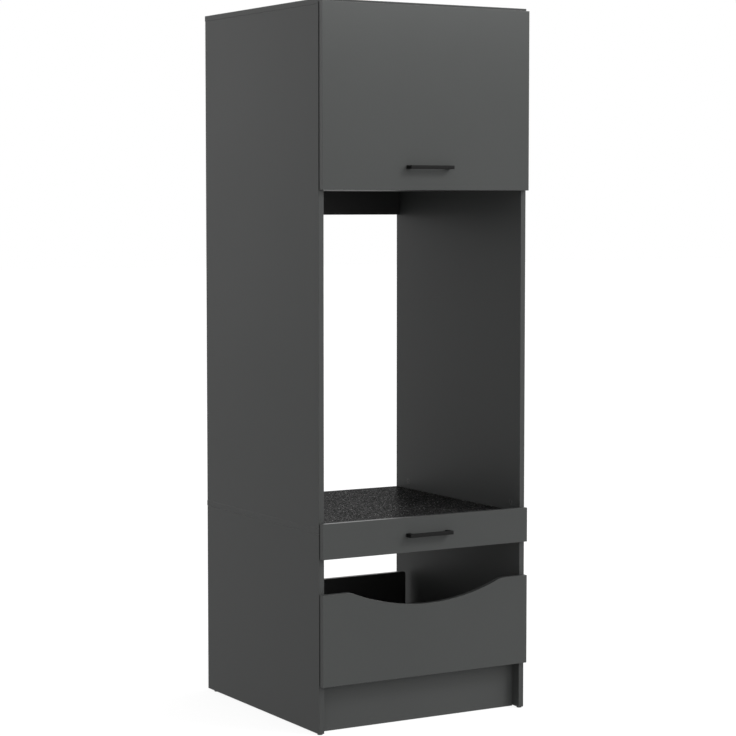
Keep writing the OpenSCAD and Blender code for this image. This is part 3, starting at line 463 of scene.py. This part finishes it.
def eased_part(node, material, width, segments=2):
    """A solid with the sharp edges of its shape rounded, as stamping, moulding or coating leaves them."""
    mesh = joined(node)
    ease(mesh, sharp_edges(mesh, PART_CORNER), width, segments)
    for part in mesh.faces:
        part.smooth = True
    piece = dress(node, "eased", mesh, [material])
    piece.data.set_sharp_from_angle(angle=PART_CREASE)
    return piece


def coated(material, *nodes):
    """Solids whose shape is right as it is get their finish."""
    for node in nodes:
        data = frame["nodes"][node].data
        data.materials.clear()
        data.materials.append(material)


# Screws, by Geometry Nodes
def screw_tree():
    """A cross-head screw on every point of the input: turned, headed, recessed."""
    tree = bpy.data.node_groups.new("cross_head_screws", "GeometryNodeTree")
    face = tree.interface
    face.new_socket("Places", in_out="INPUT", socket_type="NodeSocketGeometry")
    for name in ("Head diameter", "Head height", "Dome", "Shank diameter", "Length", "Recess"):
        face.new_socket(name, in_out="INPUT", socket_type="NodeSocketFloat")
    face.new_socket("Finish", in_out="INPUT", socket_type="NodeSocketMaterial")
    face.new_socket("Screws", in_out="OUTPUT", socket_type="NodeSocketGeometry")
    g = Nodes(tree)
    g.add("NodeGroupInput")
    given = {s.name: Number(g, s) for s in tree.nodes[0].outputs if s.name}
    head, tall, dome = given["Head diameter"] / 2, given["Head height"], given["Dome"]
    shank, length = given["Shank diameter"] / 2, given["Length"]
    # Height and radius of the outline, from the tip to the face of the head. The dome is 1 for a round head
    # and 0 for a countersunk one.
    stations = [
        (-length, shank * 0.2),
        (-length + shank * 2.1, shank),
        (-tall - 0.02 * MM, shank),
        (-tall, shank + (head - shank) * dome),
        (-tall * (0.12 + 0.38 * dome), head),
        (-tall * 0.16 * dome, head * (1 - 0.10 * dome)),
        (0.0, head * (0.985 - 0.26 * dome)),
    ]
    index = g.add("GeometryNodeInputIndex")

    def by_index(values):
        switch = {"data_type": "FLOAT", "choices": len(values)}
        return g.add("GeometryNodeIndexSwitch", switch, dict(enumerate([index, *values])))

    height = by_index([z for z, _ in stations])
    radius = by_index([r for _, r in stations])
    line = g.add("GeometryNodeMeshLine", {}, {"Count": len(stations)})
    upright = g.add("ShaderNodeCombineXYZ", {}, {"Z": height})
    axis = g.add("GeometryNodeSetPosition", {}, {"Geometry": line, "Position": upright})
    curve = g.add("GeometryNodeMeshToCurve", {}, {"Mesh": axis})
    ring = g.add("GeometryNodeCurvePrimitiveCircle", {}, {"Resolution": 24, "Radius": 1.0})
    swept = {"Curve": curve, "Profile Curve": ring, "Scale": radius, "Fill Caps": True}
    turned = g.add("GeometryNodeCurveToMesh", {}, swept)
    wing = given["Recess"]
    size = g.add("ShaderNodeCombineXYZ", {}, {"X": wing * 2, "Y": wing * 0.42, "Z": wing * 1.3})
    bar = g.add("GeometryNodeMeshCube", {}, {"Size": size})
    across = g.add("GeometryNodeTransform", {}, {"Geometry": bar, "Rotation": (0.0, 0.0, math.pi / 2)})
    cross = g.add("GeometryNodeMeshBoolean", {"operation": "UNION"}, {"Mesh 2": bar})
    g.tree.links.new(across.socket, cross.socket.node.inputs["Mesh 2"])
    cut = {"Mesh 1": turned, "Mesh 2": cross}
    screw = g.add("GeometryNodeMeshBoolean", {"operation": "DIFFERENCE"}, cut)
    way = g.add("GeometryNodeInputNamedAttribute", {"data_type": "FLOAT_VECTOR"}, {"Name": "way"})
    aimed = g.add("FunctionNodeAlignRotationToVector", {"axis": "Z"}, {"Vector": way})
    spin = g.add("FunctionNodeRandomValue", {"data_type": "FLOAT"}, {2: 0.0, 3: math.pi, "Seed": 4}, out=1)
    twist = g.add("FunctionNodeAxisAngleToRotation", {}, {"Axis": (0.0, 0.0, 1.0), "Angle": spin})
    both = {"Rotation": aimed, "Rotate By": twist}
    turn = g.add("FunctionNodeRotateRotation", {"rotation_space": "LOCAL"}, both)
    spots = {"Points": given["Places"], "Instance": screw, "Rotation": turn}
    placed = g.add("GeometryNodeInstanceOnPoints", {}, spots)
    real = g.add("GeometryNodeRealizeInstances", {}, {"Geometry": placed})
    finished = g.add("GeometryNodeSetMaterial", {}, {"Geometry": real, "Material": given["Finish"]})
    g.add("NodeGroupOutput", {}, {"Screws": finished})
    return tree


# How near a point lies to a plane, and how much slimmer than the head a shank is, at least
NEAR, SLIMMER = 0.01 * MM, 0.1 * MM
ROUND_HEAD = 0.5 * MM  # a head whose widest ring lies deeper than this is round
RECESS = 0.27  # half the recess's width, as a share of the head's diameter


def screws_of(node):
    """Every screw of a node, from left to right: the middle of its head's face, the way the head looks, and
    its sizes."""
    mesh = bmesh.new()
    mesh.from_mesh(frame["nodes"][node].data)
    bmesh.ops.remove_doubles(mesh, verts=mesh.verts, dist=WELD)
    left, found = set(mesh.verts), []
    while left:
        island, waiting = set(), [left.pop()]
        while waiting:
            point = waiting.pop()
            island.add(point)
            for edge in point.link_edges:
                other = edge.other_vert(point)
                if other in left:
                    left.discard(other)
                    waiting.append(other)
        co = np.array([point.co for point in island])
        low, high = co.min(0), co.max(0)
        axis = int(np.argmax(high - low))
        middle = (low + high) / 2
        across = np.delete(co - middle, axis, 1)
        radius = np.hypot(across[:, 0], across[:, 1])
        at_high = radius[co[:, axis] > high[axis] - NEAR].max()
        at_low = radius[co[:, axis] < low[axis] + NEAR].max()
        way = 1 if at_high > at_low else -1
        depth = (high[axis] - co[:, axis]) if way > 0 else (co[:, axis] - low[axis])
        head = radius.max()
        slim = radius < head - SLIMMER
        widest = depth[radius > head - NEAR].max()
        dome = 1.0 if widest > ROUND_HEAD else 0.0
        tall = widest if dome else depth[slim & (depth > NEAR)].min()
        shank = radius[slim & (depth > tall - NEAR) & (depth < 0.75 * depth.max())].max()
        face = middle.copy()
        face[axis] = high[axis] if way > 0 else low[axis]
        look = np.zeros(3)
        look[axis] = way
        found.append((face, look, (2 * head, tall, dome, 2 * shank, depth.max())))
    mesh.free()
    return sorted(found, key=lambda screw: tuple(screw[0].round(5)))


def cross_head_screws(tree, node, material):
    """Replaces a node of plain screws by cross-head ones of the same sizes, one set for each size."""
    kinds = {}
    for face, look, sizes in screws_of(node):
        kinds.setdefault(tuple(round(float(s), 5) for s in sizes), []).append((face, look))
    whole = bmesh.new()
    for (head, tall, dome, shank, length), places in kinds.items():
        points = bpy.data.meshes.new("screw_places")
        points.from_pydata([tuple(face) for face, _ in places], [], [])
        ways = points.attributes.new("way", "FLOAT_VECTOR", "POINT")
        ways.data.foreach_set("vector", np.array([look for _, look in places], np.float32).ravel())
        carrier = bpy.data.objects.new("screw_places", points)
        scene.collection.objects.link(carrier)
        modifier = carrier.modifiers.new("screws", "NODES")
        modifier.node_group = tree
        sizes = {"Head diameter": head, "Head height": tall, "Dome": dome, "Shank diameter": shank,
                 "Length": length, "Recess": head * RECESS, "Finish": material}
        for item in tree.interface.items_tree:
            if item.in_out == "INPUT" and item.name in sizes:
                modifier[item.identifier] = sizes[item.name]
        depsgraph = bpy.context.evaluated_depsgraph_get()
        result = bpy.data.meshes.new_from_object(carrier.evaluated_get(depsgraph))
        whole.from_mesh(result)
        bpy.data.objects.remove(carrier)
    bmesh.ops.recalc_face_normals(whole, faces=whole.faces)
    for part in whole.faces:
        part.smooth = True
        part.material_index = 0
    piece = dress(node, "cross_head", whole, [material])
    piece.data.set_sharp_from_angle(angle=SCREW_CREASE)
    return piece


# Carcass
for board in ("upper_side_left", "upper_side_right", "lower_side_left", "lower_side_right",
              "compartment_floor", "compartment_shelf", "base_rail", "base_floor", "plinth_panel"):
    banded_board(board, graphite)
for board, upper_face in (("top_board", graphite_top), ("platform_board", granite)):
    faces = [(TOP, upper_face), (LEFT, graphite), (RIGHT, graphite)]
    banded_board(board, graphite, special=faces, width=SEAM)
banded_board("rear_rail", black_board, black_board)
banded_board("compartment_back", hardboard_paint, hardboard_back, hardboard_back,
             special=[(REAR, hardboard_back)], width=HAIRLINE)

# Fronts and drawer boards
banded_board("flap_front", graphite_front_painted_lighter, raw=(), width=SOFT)
banded_board("pullout_fascia", graphite_front_painted_lighter, raw=(), width=SOFT)
banded_board("drawer_front", graphite_front_painted_lighter, raw=(), curved=True, width=SOFT)
banded_board("pullout_board", graphite, raw=())
banded_board("drawer_bottom", black_board, black_board)
banded_board("drawer_back", black_board, black_board, raw=(), curved=True)

# Handles, hinges, struts, runners
for handle in ("flap_handle", "pullout_handle"):
    eased_part(handle, handle_coat, 0.7 * MM, 3)
for hinge_part, radius in (("hinge_arms", 0.3 * MM), ("hinge_plates", 0.3 * MM), ("hinge_cups", 0.2 * MM)):
    eased_part(hinge_part, nickel, radius)
coated(zinc, "hinge_pins", "shelf_pins", "wall_brackets", "strut_side_brackets", "strut_flap_brackets",
       "fascia_angles")
coated(cam_lacquer_painted_lighter, "cam_discs")
coated(screw_zinc, "cam_bolts")
coated(beech, "dowels")
coated(tube_paint, "strut_tubes")
coated(chrome, "strut_rods")
coated(runner_steel, "pullout_runner_outer", "pullout_runner_middle", "pullout_runner_inner",
       "drawer_channels", "pullout_ball_cages")
coated(drawer_coat, "drawer_side_left", "drawer_side_right")
coated(nylon, "drawer_front_rollers", "drawer_rear_rollers")
coated(glide_plastic, "glides")
coated(pad, "flap_buffers", "fascia_buffers", "drawer_buffers")

cross_head = screw_tree()
for node in ("wall_bracket_screws", "hinge_plate_screws", "strut_side_screws", "runner_screws",
             "hinge_cup_screws", "strut_flap_screws", "flap_handle_screws", "pullout_handle_screws",
             "pullout_screws", "drawer_screws"):
    cross_head_screws(cross_head, node, screw_zinc)

# Studio: the camera sees white all round, and the cabinet is lit by walls of different brightness. A wall's
# bearing counts in degrees from the rear to the right. The backdrop hangs beyond the cabinet, seen from the camera.
FLOOR_GLOW = 0.89
FLOOR_REACH = 40.0
FLOOR_LEVEL = -0.3 * MM
CEILING_GLOW = 0.6
WALL_GLOW = {0: 1.75, 45: 0.62, 90: 2.6, 135: 2.1, 180: 2.1, 225: 0.4, 270: 0.44, 315: 0.44}
BACKDROP_EAST, BACKDROP_NORTH = 0.507, 0.862

ends = (-FLOOR_REACH, FLOOR_REACH)
corners = [(ends[0], ends[0]), (ends[1], ends[0]), (ends[1], ends[1]), (ends[0], ends[1])]
floor_mesh = bpy.data.meshes.new("studio_floor")
floor_mesh.from_pydata([(x, y, FLOOR_LEVEL) for x, y in corners], [], [(0, 1, 2, 3)])
floor_mesh.materials.append(studio_floor_paint(FLOOR_GLOW))
floor = bpy.data.objects.new("studio_floor", floor_mesh)
scene.collection.objects.link(floor)

world = bpy.data.worlds.new("studio_air")
scene.world = world
world.use_nodes = True
sky = Nodes(world.node_tree)
air = world.node_tree.nodes["Background"]
heading = sky.add("ShaderNodeTexCoord", out="Generated")
east, north, up = (sky.add("ShaderNodeSeparateXYZ", {}, {"Vector": heading}, out=axis) for axis in "XYZ")


def fade(value, start, end):
    """0 before the start and 1 after the end, with soft shoulders."""
    span = {"Value": value, "From Min": start, "From Max": end}
    return sky.add("ShaderNodeMapRange", {"interpolation_type": "SMOOTHSTEP"}, span)


level_part = (east * east + north * north + 0.0001) ** 0.5
backdrop = fade(BACKDROP_EAST * east + BACKDROP_NORTH * north, 0.90, 0.95) * fade(up, 0.30, 0.20)
seen = sky.add("ShaderNodeLightPath", out="Is Camera Ray")
overhead = fade(up, 0.55, 0.75)
walls = 0.0
for bearing, brightness in WALL_GLOW.items():
    turn = math.radians(bearing)
    facing = (math.sin(turn) * east + math.cos(turn) * north) / level_part
    walls = brightness * fade(facing, 0.45, 0.95) + walls
room = backdrop + (1 - backdrop) * (CEILING_GLOW * overhead + (1 - overhead) * walls)
glow = seen + (1 - seen) * room
white = sky.add("ShaderNodeCombineColor", {}, {"Red": glow, "Green": glow, "Blue": glow})
sky.put(air.inputs["Color"], white)


def soft_box(name, place, target, size, power):
    """A rectangular light that looks at its target."""
    light = bpy.data.lights.new(name, "AREA")
    light.shape, light.size, light.size_y, light.energy = "RECTANGLE", size[0], size[1], power
    box = bpy.data.objects.new(name, light)
    box.location = place
    box.rotation_euler = (Vector(target) - Vector(place)).to_track_quat("-Z", "Y").to_euler()
    scene.collection.objects.link(box)
    return box


# The key light stands high at the right and casts the handles' shadows. The strip brightens the flap towards
# its upper edge, and is linked to the flap alone, so that it doesn't lighten the top of the carcass.
soft_box("key_light", place=(4.0, -5.1, 5.8), target=(0.0, -0.3, 1.0), size=(2.0, 2.0), power=370.0)
strip = soft_box("flap_strip_light", place=(0.0, -0.55, 2.22), target=(0.0, -0.36, 1.94), size=(1.3, 0.12),
                 power=4.3)
lit = bpy.data.collections.new("lit_by_the_strip")
for piece in scene.objects:
    if piece.name.startswith(("flap_front", "flap_handle")):
        lit.objects.link(piece)
strip.light_linking.receiver_collection = lit

# The photograph's camera, solved from its edges: sizes in pixels, angles in radians
PHOTO_SIDE = 736
FOCAL_LENGTH = 2226.229
CENTRE_ROW = 352
SENSOR = 36
DOWN, TO_THE_RIGHT = 0.06654, 0.53094
camera_data = bpy.data.cameras.new("photo_camera")
camera_data.lens = FOCAL_LENGTH * SENSOR / PHOTO_SIDE
camera_data.sensor_width = SENSOR
camera_data.shift_y = -(PHOTO_SIDE / 2 - CENTRE_ROW) / PHOTO_SIDE
camera = bpy.data.objects.new("photo_camera", camera_data)
camera.location = (-3.26529, -5.57027, 1.45287)
camera.rotation_euler = (math.pi / 2 - DOWN, 0.0, -TO_THE_RIGHT)
scene.collection.objects.link(camera)
scene.camera = camera
scene.view_settings.view_transform = "Standard"
